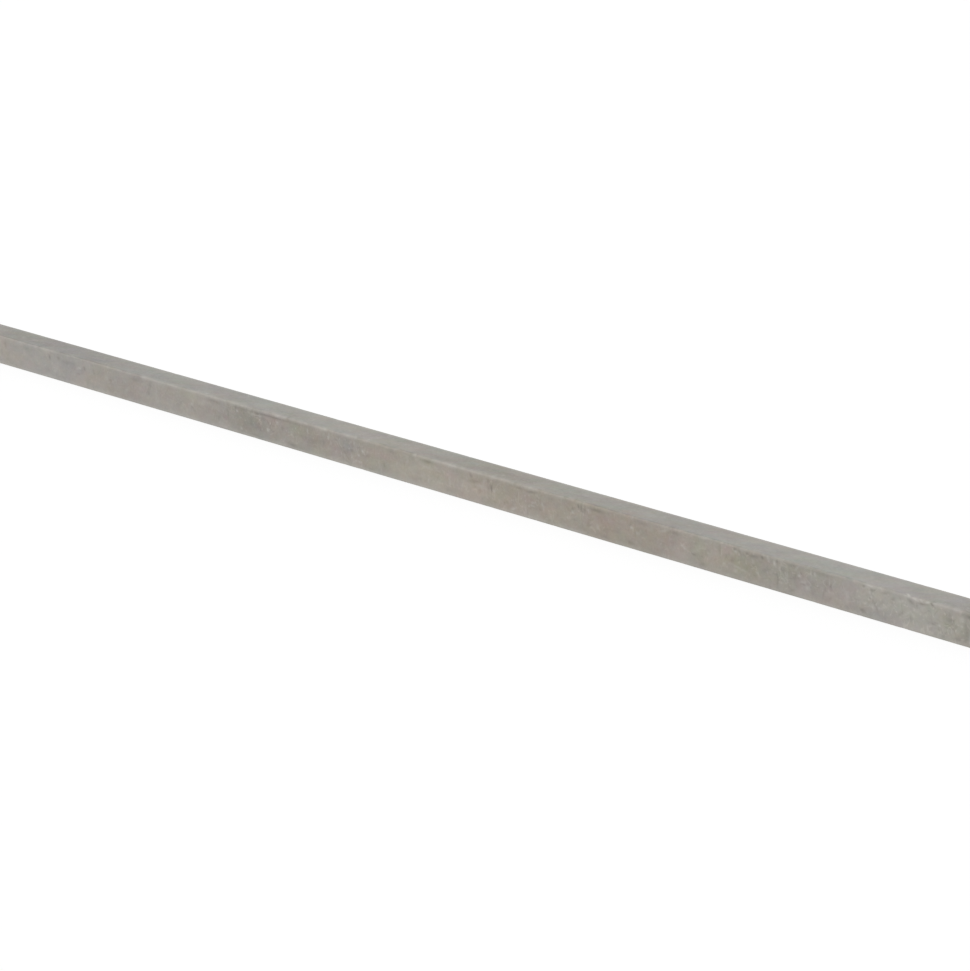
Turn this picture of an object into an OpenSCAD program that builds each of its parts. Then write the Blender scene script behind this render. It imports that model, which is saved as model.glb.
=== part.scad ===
// Square key stock: the cold-drawn bar that machine keys are cut from.
// It lies on its underside along X. The origin is at the middle of that face, with Z up.

/* [Bar] */
// Length that the bar is sold in, along X: 12 in
bar_length = 304.8; // [50:0.1:1000]
// Width from flank to flank, along Y: 1/4 in
key_width = 6.35; // [3:0.05:25]
// Height from the underside to the top face, along Z: 1/4 in
key_height = 6.35; // [3:0.05:25]

/* [Edges] */
// Radius that the die leaves on the four long corners
corner_radius = 0.45; // [0.1:0.05:1]
// Size of the 45 degree chamfer filed round each sawn end
end_chamfer = 0.4; // [0.1:0.05:1]

/* [Hidden] */
steel_grey = [0.62, 0.6, 0.57];
// How far a cutting shape reaches past the face that it cuts
overcut = 1;
$fn = 48;

// Section of the drawn bar: a rectangle with rounded corners, centred on the origin
module drawn_section() {
    core_width = key_width - 2 * corner_radius;
    core_height = key_height - 2 * corner_radius;
    square([core_width, key_height], center = true);
    square([key_width, core_height], center = true);
    for (side = [-1, 1], level = [-1, 1])
        translate([side * core_width / 2, level * core_height / 2])
            circle(r = corner_radius);
}

// The bar as it leaves the die, a little longer than the finished length at each end
module drawn_blank() {
    rotate([90, 0, 90])
        linear_extrude(height = bar_length + 2 * overcut, center = true)
            drawn_section();
}

// Outline that trims a bar `across` wide to length and slopes in at 45 degrees to both ends.
// Its long sides stand clear of the bar, so that only the ends and the chamfers cut.
module trimming_outline(across) {
    end_x = bar_length / 2;
    end_y = across / 2 - end_chamfer;
    reach = end_chamfer + overcut;
    polygon([
        for (turn = [[-1, -1], [1, -1], [1, 1], [-1, 1]])
            let (corner = [
                [turn.x * end_x, turn.y * end_y],
                [turn.x * (end_x - reach), turn.y * (end_y + reach)]
            ])
            each (turn.x * turn.y > 0 ? corner : [corner[1], corner[0]])
    ]);
}

// Trimming shape seen from above: it cuts the chamfers on the two flanks
module flank_trim() {
    linear_extrude(height = key_height + 2 * overcut, center = true)
        trimming_outline(key_width);
}

// Trimming shape seen from the side: it cuts the chamfers on the top face and the underside
module top_and_bottom_trim() {
    rotate([90, 0, 0])
        linear_extrude(height = key_width + 2 * overcut, center = true)
            trimming_outline(key_height);
}

module key_bar() {
    color(steel_grey)
        translate([0, 0, key_height / 2])
            intersection() {
                drawn_blank();
                flank_trim();
                top_and_bottom_trim();
            }
}

key_bar();
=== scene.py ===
import math

import bpy
import numpy as np
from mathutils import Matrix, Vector


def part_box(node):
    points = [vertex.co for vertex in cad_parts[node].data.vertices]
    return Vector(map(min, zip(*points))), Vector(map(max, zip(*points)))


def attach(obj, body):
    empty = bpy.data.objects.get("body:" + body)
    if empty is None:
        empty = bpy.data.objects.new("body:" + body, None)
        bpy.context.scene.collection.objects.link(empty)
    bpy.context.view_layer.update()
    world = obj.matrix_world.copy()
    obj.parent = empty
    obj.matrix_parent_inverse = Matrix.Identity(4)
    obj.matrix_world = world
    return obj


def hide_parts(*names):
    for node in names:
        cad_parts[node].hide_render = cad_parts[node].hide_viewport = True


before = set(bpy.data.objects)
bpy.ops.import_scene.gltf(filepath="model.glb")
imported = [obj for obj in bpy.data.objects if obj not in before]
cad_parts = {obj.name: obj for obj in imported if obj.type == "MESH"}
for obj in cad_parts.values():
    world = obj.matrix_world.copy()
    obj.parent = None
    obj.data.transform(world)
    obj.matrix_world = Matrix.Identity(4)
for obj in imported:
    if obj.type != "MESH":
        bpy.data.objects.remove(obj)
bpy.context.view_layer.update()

# The bar is worked out in millimetres, and its mesh is turned into metres at the end.
MM = 0.001

# The unit of the tones and depths in the tables below
THOUSANDTH = 0.001

# The solid in the frame: the bar lies along X on its underside, and its section is square.
bar_low, bar_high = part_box("key_bar")
BAR_MIDDLE = (bar_low + bar_high) / 2
BAR_LENGTH = (bar_high.x - bar_low.x) / MM
BAR_SIDE = (bar_high.z - bar_low.z) / MM
CORNER_RADIUS = 0.45
END_CHAMFER = 0.4

# Share of the corners' radius that is left at the very ends, and how far off a ring may lie
LEAST_RADIUS = 0.2
ROUNDING_ERROR = 0.01

# Net of the detailed surface: rings along the bar, and columns round the section. The flats of
# the flanks have more columns than those of the top face and the underside.
RING_STEP = 0.3
FINE_RING_STEP = 0.15
CHAMFER_RINGS = 4
ARC_STEPS = 6
FLAT_STEPS = (12, 20, 12, 20)

# The way round the section starts where the arc of the top back corner meets the back flank. It
# goes over the top, down the front flank, under the bar and up the back flank.
TOP, FRONT, UNDERSIDE, BACK = range(4)
CORNER_SIGNS = np.array([(1, 1), (-1, 1), (-1, -1), (1, -1)])
ARC_LENGTH = CORNER_RADIUS * math.pi / 2
FLAT_LENGTH = BAR_SIDE - 2 * CORNER_RADIUS
SIDE_LENGTH = ARC_LENGTH + FLAT_LENGTH
ROUND_LENGTH = 4 * SIDE_LENGTH

# Bruised stretch of the top front corner, from where to where along X
BRUISE = (103.0, 127.0)

# Layers on the surface: bare metal, which along the corners is partly a painted highlight, grime,
# which on and under the top front corner is partly painted shade, fine scuffs, and three tones
# that change the steel a little, up or down
TONES = ("lighter", "warmer", "pinker")
LAYERS = ("bare", "grime", "scuffed", *TONES)

# Rubbed band along a corner, partly real wear and partly a painted highlight: its height, how
# far past the middle of each corner it lies on the way round the section, how far it strays from
# there, how uneven it is, and the length over which a rubbed stretch begins or leaves off
RUB_HIGHLIGHT_HEIGHT = 0.45
RUB_HIGHLIGHT_OFFSET = (0.3, 0.0, -0.25, 0.0)
RUB_HIGHLIGHT_STRAY = 0.12
RUB_HIGHLIGHT_UNEVEN = 0.5
RUB_HIGHLIGHT_FADE = 0.8

# How many times its own size a small mark reaches, and how far the marks take to fade in from
# the chamfers
MARK_REACH = 2.5
MARK_FADE = 1.5

# The swell of the drawn sides, and how much larger or smaller it leaves the corners
SWELL = 0.003
SWELL_TRACKS = 16
RADIUS_CHANGE = 0.02

# How many random knocks the bar has, and how many knocks, stains and scuffs each side has
KNOCKS = 300
CORNER_KNOCKS = 30
SIDE_STAINS = 36
SIDE_SCUFFS = 12

# Ridges of the saw on the ends: depth, spacing and bow
SAW_DEPTH = 0.01
SAW_SPACING = 0.8
SAW_BOW = 0.02

# How far from the middle the photograph shows the bar
IN_VIEW = 128.0

# Slant of the smears: they climb a little along X on the flank and on the top face
SLANT = (0, 17, -27)

# Soft patches of tone on the front flank: place along X, share of the way down the flank,
# length and height of the patch, and how much lighter, warmer and pinker it is, in thousandths.
# Zeros at the end of a row are left out. Lighter and darker rows near a share of 0.05, just under
# the top corner, are painted light: they widen the corner's highlight or deepen the shade beneath
# it.
FRONT_STAINS_AND_PAINTED_LIGHT = [
    (-126, 0.9, 2.5, 1, 0, -15),
    (-122.5, 0.65, 3, 1.5, 0, 0, -15),
    (-119.1, 0.05, 2.5, 0.7, 70),
    (-118, 0.5, 22, 9, 75, -13, 6),
    (-116, 0.85, 5, 1, 10, -10, 12),
    (-114.2, 0.37, 2, 1.2, 60),
    (-109, 0.33, 2, 1.2, 60),
    (-104, 0.3, 4, 2, -90, -16, 6),
    (-97, 0.8, 6, 2.5, 50, -12, 6),
    (-96, 0.55, 2.5, 1.1, 0, 22, 6),
    (-95, 0.9, 2.5, 1, 0, -14),
    (-93.7, 0.92, 2, 0.9, 60),
    (-88, 0.45, 7, 4, -85, 0, 18),
    (-84, 0.75, 2, 1.2, -20, 0, 30),
    (-81, 0.42, 1.4, 1.2, 0, 2, 22),
    (-78, 0.5, 5, 3, 0, -3, 12),
    (-76.9, 0.22, 2, 1, 60),
    (-76.3, 0.05, 2.5, 0.6, 90),
    (-71, 0.6, 9, 5, 70, 8),
    (-67.5, 0.92, 3, 1, 80),
    (-66.5, 0.2, 2.2, 1.3, 10, 18, -40),
    (-61, 0.25, 6, 2.2, 80),
    (-61, 0.5, 3.2, 1.1, -110, 10),
    (-56.2, 0.5, 1.5, 1, -70),
    (-56.2, 0.62, 0.9, 0.7, 30, 0, 40),
    (-56.2, 0.92, 2, 0.9, 200),
    (-50, 0.5, 4, 2.4, -130, 6, -8),
    (-50, 0.75, 4, 2, 20, 0, 12),
    (-47.3, 0.5, 1.6, 1, -60),
    (-46.3, 0.42, 0.9, 1.2, -40, 20, 35),
    (-45, 0.6, 4, 1.6, -70, 0, 10),
    (-43, 0.2, 3, 1, 20, 0, 30),
    (-39.2, 0.05, 1.8, 0.6, 60),
    (-37.3, 0.26, 2, 1.2, 0, -20),
    (-35.5, 0.25, 2, 1.2, 0, 16, -38),
    (-33, 0.9, 2.5, 1, 0, -15),
    (-32.3, 0.62, 1.6, 1.6, -40, -30, 20),
    (-30.6, 0.65, 1.8, 1, -70),
    (-30.5, 0.85, 2, 0.9, 20, 0, -30),
    (-30, 0.45, 2.3, 1.1, -50, 10),
    (-26, 0.19, 1.8, 1, 70),
    (-25.6, 0.47, 1.8, 1.2, 0, 18),
    (-25, 0.6, 1.5, 1.5, 0, 0, 35),
    (-24.3, 0.92, 1.8, 0.9, 70),
    (-21, 0.35, 2.2, 1.6, -10, -30, -5),
    (-21, 0.5, 15, 9, 70, -3),
    (-21, 0.9, 2, 1, 0, 0, -14),
    (-17.6, 0.05, 2, 0.6, 0, 0, -17),
    (-16.5, 0.5, 1.6, 0.5, -50, 10),
    (-16.5, 0.65, 2.2, 1, -80),
    (-13, 0.6, 2, 1, -10, 0, -30),
    (-13, 0.7, 7, 3, 40),
    (-11.5, 0.33, 3.6, 1.3, 0, 10, 40),
    (-6.6, 0.26, 2, 1, 0, 0, 15),
    (-6, 0.75, 1.8, 2, 30, 15, -15),
    (-3.4, 0.92, 2, 1, -70),
    (-2, 0.05, 2, 0.6, 0, 0, -20),
    (-1, 0.25, 3, 1.5, 30, 3, -12),
    (-1, 0.5, 9, 5, 100, 0, -8),
    (0, 0.97, 200, 0.8, 0, -10),
    (0.1, 0.05, 1.6, 0.6, 70),
    (0.2, 0.07, 1.6, 0.6, -50, 20, -30),
    (6, 0.33, 1.2, 1.2, 0, 0, 35),
    (10.6, 0.05, 1.8, 0.6, 60),
    (12.5, 0.6, 3.5, 2, 100, 0, 4),
    (16, 0.8, 2.5, 1.4, 60, 0, -12),
    (20, 0.3, 3, 1.3, 10, 0, -5),
    (26, 0.33, 2, 1, -10, 0, 35),
    (26.9, 0.44, 1.5, 1, -70),
    (28.5, 0.6, 2.2, 1.2, -80, 0, 8),
    (31, 0.15, 5, 1.2, -50, 0, 6),
    (36, 0.7, 6, 3, 0, -14, 10),
    (36.4, 0.05, 1.6, 0.6, -60),
    (40, 0.5, 60, 9, -30, 24),
    (41, 0.05, 2.2, 0.7, 0, 0, -22),
    (42, 0.5, 1.5, 1, 80),
    (43.5, 0.22, 1.8, 0.5, -30, 10, 10),
    (46, 0.32, 2.5, 1, 0, 0, 36),
    (49, 0.7, 1.8, 1.6, -30, 0, -30),
    (49.7, 0.05, 2, 0.6, 0, 0, -25),
    (51, 0.58, 1.8, 1.2, 0, 0, -12),
    (53, 0.28, 2, 1.2, -70),
    (54, 0.5, 9, 6, -130, 12, 4),
    (58, 0.92, 2.2, 1, -80),
    (60, 0.35, 3, 2, -70, 10, 2),
    (64.5, 0.42, 1.6, 1.5, 20, 12, 15),
    (67, 0.25, 1.6, 1.8, -10, 14, -36),
    (71, 0.3, 9, 3, 0, 3, -10),
    (71.5, 0.5, 4, 3, 70, 0, 14),
    (72.7, 0.58, 1.5, 1.2, -70),
    (74, 0.12, 1.2, 0.8, 0, 0, 45),
    (77, 0.9, 2.2, 1, 0, -15),
    (78, 0.5, 3.5, 1.8, -30, 12, -32),
    (79.5, 0.6, 1.5, 1.3, 0, 0, 18),
    (82.3, 0.92, 1.6, 0.9, 60),
    (84, 0.78, 5, 2, 90, -4),
    (86.5, 0.6, 2.5, 2.5, -10, -12, -22),
    (88.5, 0.82, 1.8, 1.2, 0, 0, 22),
    (89.5, 0.85, 3.5, 1.4, 60, -12),
    (91, 0.5, 1.2, 2, 70, -5, 35),
    (93.6, 0.05, 1.6, 0.6, -70),
    (94.5, 0.44, 1.4, 1, 60),
    (97, 0.5, 1.8, 1.6, 0, -10, 25),
    (100, 0.28, 2, 1.5, -60, -4, 15),
    (100.5, 0.5, 1.5, 2, 30, -8, 12),
    (101, 0.92, 2.5, 1, -90),
    (102.5, 0.15, 2, 0.8, -20, 0, 20),
    (106.1, 0.48, 1.4, 1, -70),
    (106.5, 0.35, 6, 2.5, 5, 0, -14),
    (108.5, 0.78, 4, 1.4, -20, -10, 8),
    (109.3, 0.92, 2, 1, -80),
    (110, 0.4, 9, 3, 0, 3, -12),
    (113, 0.33, 1.2, 1, 10, 10, -30),
    (114, 0.5, 17, 9, 85, -16),
    (115, 0.85, 3, 1.5, 60, 6, -6),
    (116.4, 0.18, 1.5, 0.8, 70),
    (116.4, 0.5, 1.8, 1.5, 0, 0, 15),
    (117.5, 0.3, 2, 1.5, 50, 0, -14),
    (118.5, 0.06, 1.6, 0.5, 90, 0, -15),
    (120.2, 0.64, 1.3, 0.9, 80),
    (121.5, 0.92, 1.5, 1, -80),
    (122.2, 0.42, 1.2, 1.2, -160, 10, -25),
    (125.2, 0.19, 0.7, 0.5, 100),
    (125.8, 0.05, 1.2, 0.6, -80),
    (126, 0.55, 1, 2.6, -140, 5, -20),
    (127.4, 0.84, 1, 1.3, 170, -25, 30),
    (127.9, 0.4, 0.8, 3, 120),
]

# Soft streaks on the top face, in the same form; the share goes from the back to the front
TOP_STAINS = [
    (-126, 0.5, 4, 9, -130, -8, -8),
    (-122, 0.3, 5, 2, -20, 10, -30),
    (-115, 0.5, 26, 9, -130),
    (-113, 0.6, 4, 1.2, -30, 10, 10),
    (-107.3, 0.85, 4, 1.2, 0, 0, 16),
    (-107, 0.4, 1.5, 1.5, -20, -10, 20),
    (-106, 0.2, 4, 1.2, 0, 11),
    (-97, 0.5, 10, 9, -110, 3, 8),
    (-95.3, 0.85, 4, 1.2, 0, 0, 12),
    (-95.2, 0.2, 3, 1, -40),
    (-93, 0.5, 5, 1.2, -10, 5, 10),
    (-90.8, 0.85, 4, 1.2, -50),
    (-84, 0.4, 3, 1.5, 30, 0, -20),
    (-82, 0.5, 14, 9, -50),
    (-80.8, 0.6, 4, 1.2, 0, 0, 14),
    (-73.3, 0.85, 4, 1, -50, 14),
    (-73, 0.6, 3, 0.9, -10, 10, -25),
    (-66, 0.5, 6, 9, -65, 6, 4),
    (-57.7, 0.85, 4, 1, 0, 12),
    (-52, 0.5, 10, 9, -50),
    (-50, 0.4, 4, 1.5, 0, -5, -15),
    (-47.4, 0.2, 4, 1.2, 0, -13),
    (-47.2, 0.85, 4, 1.2, 0, 0, 16),
    (-40, 0.7, 2, 0.8, 0, 10, -25),
    (-24.7, 0.2, 4, 1.2, 0, 0, -13),
    (-22, 0.5, 11, 9, 70, -6, -6),
    (-14, 0.6, 5, 1, 10, 10, 8),
    (-5, 0.6, 2.5, 1.5, 0, 10, 12),
    (5, 0.7, 3.5, 0.8, -60, 10, -10),
    (8.4, 0.85, 3, 1, -50),
    (12, 0.5, 10, 9, -85),
    (12.6, 0.2, 3, 1, 70),
    (17.5, 0.5, 3, 0.5, -100, 5, -10),
    (18.9, 0.88, 2.5, 0.7, -50),
    (20.7, 0.2, 3, 1, 60, 0, -16),
    (23, 0.65, 2.5, 0.5, -60),
    (25, 0.5, 35, 9, 0, 13),
    (29.3, 0.2, 3, 1, 0, -12),
    (37, 0.85, 3, 1, 50),
    (38, 0.5, 11, 9, -80),
    (44, 0.5, 3, 1.3, 0, -10, 10),
    (45, 0.85, 2.5, 1, 0, 0, -18),
    (50, 0.8, 1.6, 0.9, -10, 10, 10),
    (51.5, 0.85, 2.5, 1, 0, 18),
    (52, 0.2, 3, 1, 0, 0, -12),
    (54, 0.5, 10, 9, -70),
    (58.2, 0.88, 2.5, 0.8, -50),
    (60, 0.5, 6, 9, -120, 6),
    (61.1, 0.2, 6, 1, 50),
    (67.4, 0.7, 2, 0.8, 50),
    (68, 0.7, 5, 1, 10, 5, 15),
    (74.2, 0.2, 4, 1.2, 0, 0, -18),
    (75.1, 0.85, 3, 1, 0, 12),
    (79.6, 0.2, 5, 1, 50),
    (80, 0.6, 5, 1.6, 20, -10, 8),
    (88, 0.5, 10, 9, 50, -5, -4),
    (88.8, 0.2, 3, 1, 0, 0, 16),
    (92.6, 0.85, 3, 1, 0, 0, 13),
    (96, 0.5, 22, 9, 30, -10, 3),
    (97.4, 0.2, 4, 1, 50),
    (98, 0.8, 4, 0.8, 0, 10, -20),
    (104, 0.85, 3, 0.6, 0, 0, 15),
    (106.5, 0.2, 4, 1, 90),
    (108, 0.5, 11, 9, 50, 2),
    (113, 0.4, 1.6, 0.8, -80, -5, -15),
    (113.6, 0.2, 4, 1, 80, 0, -18),
    (114.6, 0.7, 1.6, 0.6, -100),
    (117.2, 0.85, 5, 1, -70),
    (120, 0.5, 8, 9, 30, -5),
]

# Scuffed places on the front flank: place along X, share of the way down, length, height, and
# how scuffed
FRONT_SCUFFS = [
    (-111, 0.5, 3, 2.5, 0.5),
    (-100, 0.3, 4, 1.5, 0.4),
    (-88, 0.5, 5, 2.5, 0.3),
    (-65.5, 0.5, 1.5, 1.5, 0.5),
    (-56, 0.4, 3, 2, 0.4),
    (-47, 0.25, 7, 1.4, 1.5),
    (-43, 0.65, 5, 1.4, 1),
    (-35, 0.5, 4, 2, 0.6),
    (-26, 0.3, 5, 1.5, 1.1),
    (-20, 0.6, 4, 2.5, 1.4),
    (-4, 0.4, 3, 2, 0.3),
    (9, 0.6, 5, 2, 0.8),
    (16, 0.3, 3, 1.5, 0.8),
    (26, 0.6, 6, 2.5, 1.2),
    (38.5, 0.25, 3, 1.5, 0.9),
    (43, 0.7, 4, 1.5, 0.6),
    (52.5, 0.35, 2.5, 1.5, 0.6),
    (65, 0.4, 3, 1.5, 0.6),
    (77, 0.3, 6, 2.5, 0.9),
    (88, 0.4, 7, 3, 1),
    (96.5, 0.4, 3, 2, 0.7),
    (107, 0.35, 4, 2.5, 1.3),
    (116, 0.4, 7, 3, 1.5),
    (124, 0.5, 4, 3, 1.3),
]

# Stretches of the top front corner that are rubbed bare, partly real wear and partly a painted
# highlight: from, to, and how bare
CORNER_RUBS_AND_HIGHLIGHT = [
    (-127.6, -122.5, 0.06),
    (-121.5, -114, 0.13),
    (-113.5, -107.5, 0.18),
    (-96, -87, 0.04),
    (-86.5, -82, 0.14),
    (-82, -76, 0.33),
    (-76, -71, 0.3),
    (-71, -63, 0.23),
    (-63, -57, 0.29),
    (-57, -52, 0.32),
    (-52, -48.5, 0.26),
    (-48, -43.5, 0.14),
    (-43, -38.5, 0.33),
    (-38, -34, 0.31),
    (-34, -25, 0.27),
    (-25, -19, 0.33),
    (-19, -13, 0.16),
    (-13, -10, 0.05),
    (-4, 1.5, 0.18),
    (1.5, 5.5, 0.25),
    (5.5, 9.5, 0.34),
    (9.5, 18, 0.34),
    (18, 22.5, 0.26),
    (23, 27, 0.28),
    (27, 30, 0.17),
    (30, 35, 0.21),
    (35.5, 37.5, 0.2),
    (38, 41, 0.06),
    (45, 50, 0.06),
    (51, 54, 0.04),
    (58, 71, 0.05),
    (71, 77, 0.04),
    (77, 80.5, 0.23),
    (80.5, 83.2, 0.12),
    (84, 87.5, 0.1),
    (87.5, 91, 0.18),
    (94.5, 98.5, 0.06),
    (101.5, 104.6, 0.06),
    (104.6, 108.5, 0.16),
    (109, 112, 0.08),
    (112, 116, 0.22),
    (116, 118.5, 0.12),
    (119, 122.5, 0.42),
    (122.5, 125, 0.28),
    (125.3, 127.6, 0.06),
]

# Rubbed stretches of the corners before two other sides, partly real wear and partly a painted
# highlight: side, from, to, and how bare
OTHER_RUBS_AND_HIGHLIGHT = [
    (TOP, -IN_VIEW, 10, 0.1),
    (TOP, 10, IN_VIEW, 0.16),
    # Along the bottom front corner the band is painted light that offsets the floor's shadow
    # mirrored there
    (UNDERSIDE, -IN_VIEW, 40, 0.2),
    (UNDERSIDE, 40, IN_VIEW, 0.1),
]
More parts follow.
